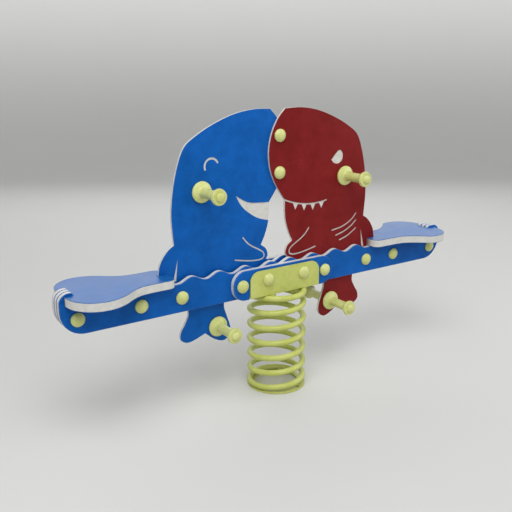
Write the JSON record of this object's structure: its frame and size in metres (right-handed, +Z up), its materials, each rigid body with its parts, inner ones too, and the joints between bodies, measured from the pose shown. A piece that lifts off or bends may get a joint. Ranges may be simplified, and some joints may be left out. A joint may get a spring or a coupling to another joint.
{
  "type": "spring seesaw",
  "caption": "Spring seesaw with seats at both ends of a beam, a whale and a shark board with hand grips and foot pegs between them, on a steel coil spring.",
  "frame": {"origin": "on the ground, on the axis of the spring", "axes": "+X along the beam towards the shark's seat, +Y across the beam towards the whale board's side, +Z up"},
  "size_m": [1.542, 0.2646, 0.9586],
  "materials": {
    "blue_board": "three-layer board, blue skins on a white core, fine grained",
    "red_board": "three-layer board, red skins on a white core, fine grained",
    "lime_steel": "satin powder coat",
    "lime_plastic": "moulded, satin",
    "zinc_steel": "zinc plated"
  },
  "bodies": {
    "anchor": {"base_ring": "lime_steel", "base_welds": "lime_steel"},
    "spring": {"coil_spring": "lime_steel"},
    "rocker": {"saddle_bracket": "lime_steel", "upper_spring_clamps": "lime_steel", "clamp_bolts": "zinc_steel", "front_beam_board": "blue_board", "rear_beam_board": "blue_board", "left_end_core": "blue_board", "right_end_core": "blue_board", "whale_packing_board": "blue_board", "shark_packing_board": "blue_board", "front_splice_plate": "blue_board", "rear_splice_plate": "blue_board", "whale_board": "blue_board", "shark_board": "red_board", "left_seat": "blue_board", "right_seat": "blue_board", "left_seat_angles": "zinc_steel", "right_seat_angles": "zinc_steel", "seat_angle_bolts": "zinc_steel", "seat_angle_nuts": "zinc_steel", "seat_screws": "zinc_steel", "whale_front_hand_grip": "lime_plastic", "whale_rear_hand_grip": "lime_plastic", "shark_front_hand_grip": "lime_plastic", "shark_rear_hand_grip": "lime_plastic", "whale_front_foot_peg": "lime_plastic", "whale_rear_foot_peg": "lime_plastic", "shark_front_foot_peg": "lime_plastic", "shark_rear_foot_peg": "lime_plastic", "whale_hand_rod": "zinc_steel", "shark_hand_rod": "zinc_steel", "whale_foot_rod": "zinc_steel", "shark_foot_rod": "zinc_steel", "rod_nuts": "zinc_steel", "grip_end_plugs": "lime_plastic", "board_bolts": "zinc_steel", "splice_bolts": "zinc_steel", "saddle_bolts": "zinc_steel", "head_bolts": "zinc_steel", "bolt_nuts": "zinc_steel", "bolt_washers": "zinc_steel", "front_cap_bases": "lime_plastic", "rear_cap_bases": "lime_plastic", "front_dome_caps": "lime_plastic", "rear_dome_caps": "lime_plastic"}
  },
  "joints": [
    {"name": "sway", "type": "hinge", "parent": "anchor", "child": "spring", "pos_m": [0, 0, 0.06], "axis": [1, 0, 0], "range_deg": [-7, 7], "stiffness_Nm_per_rad": 404, "deforming": ["coil_spring"]},
    {"name": "rock", "type": "hinge", "parent": "spring", "child": "rocker", "pos_m": [0, 0, 0.21], "axis": [0, 1, 0], "range_deg": [-18, 18], "stiffness_Nm_per_rad": 404, "deforming": ["coil_spring"]}
  ]
}
